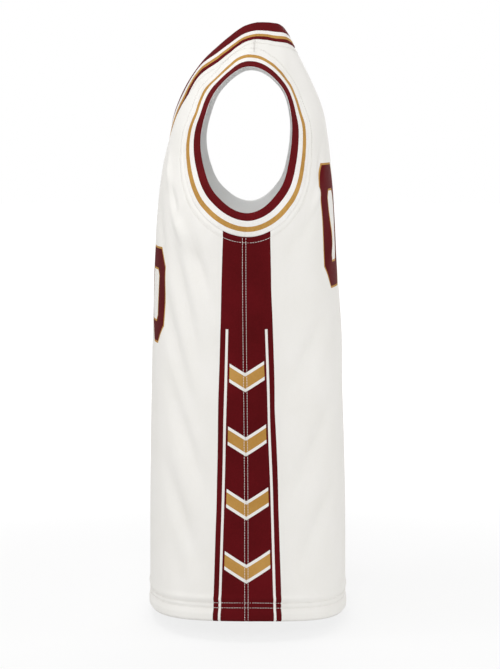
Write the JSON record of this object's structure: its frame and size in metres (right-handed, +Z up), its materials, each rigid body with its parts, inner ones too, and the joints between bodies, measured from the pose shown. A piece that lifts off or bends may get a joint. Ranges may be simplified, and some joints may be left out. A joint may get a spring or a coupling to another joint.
{
  "type": "basketball jersey",
  "caption": "Sleeveless V-neck basketball jersey in white mesh with maroon, white and gold striped neck and armhole trim, filled out as if worn.",
  "frame": {"origin": "on the middle plane, level with the middle of the shoulder straps, where the wearer's shoulders hold the jersey up", "axes": "+Z up, the front of the jersey faces -Y, +X towards the wearer's left"},
  "size_m": [0.433, 0.2724, 0.8064],
  "materials": {
    "panel_cloth": "matt knitted polyester mesh with a printed side panel and numbers",
    "trim_cloth": "striped rib knit"
  },
  "bodies": {
    "root": {"front": "panel_cloth", "back": "panel_cloth", "neck_band": "trim_cloth", "armhole_band_left": "trim_cloth", "armhole_band_right": "trim_cloth"}
  },
  "joints": []
}
